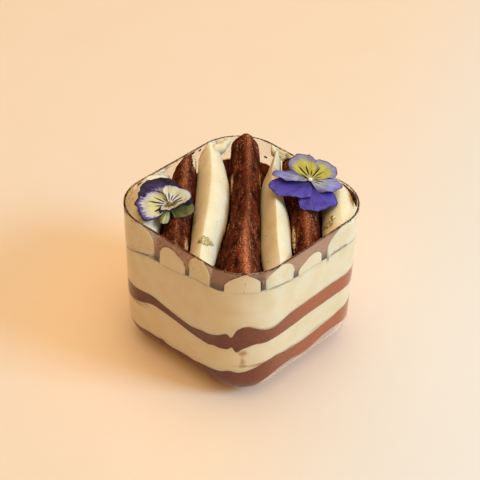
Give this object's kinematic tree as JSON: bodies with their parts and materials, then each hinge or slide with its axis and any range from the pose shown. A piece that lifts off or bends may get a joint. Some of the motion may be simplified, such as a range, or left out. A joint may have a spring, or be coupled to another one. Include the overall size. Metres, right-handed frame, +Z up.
{
  "type": "tiramisu dessert cup",
  "caption": "Layered tiramisu in a clear square cup, topped with piped cream logs, cocoa and edible flowers.",
  "frame": {"origin": "middle of the cup's flat base, on the surface that it stands on", "axes": "+Z up out of the cup; X and Y along the cup's sides; the piped logs run from the -X +Y corner to the +X -Y corner"},
  "size_m": [0.075, 0.075, 0.0713],
  "materials": {
    "clear_plastic": "clear and glossy",
    "coffee_sponge": null,
    "cream": null,
    "cocoa": null,
    "violet_petal": null,
    "pale_petal": null
  },
  "bodies": {
    "root": {"cup": "clear_plastic", "sponge_lower": "coffee_sponge", "cream_lower": "cream", "sponge_upper": "coffee_sponge", "cream_upper": "cream", "cream_log_1": "cream", "cocoa_log_2": "cocoa", "cream_log_3": "cream", "cocoa_log_4": "cocoa", "cream_log_5": "cream", "cocoa_log_6": "cocoa", "cream_log_7": "cream", "viola_right": "violet_petal", "viola_left": "pale_petal"}
  },
  "joints": []
}
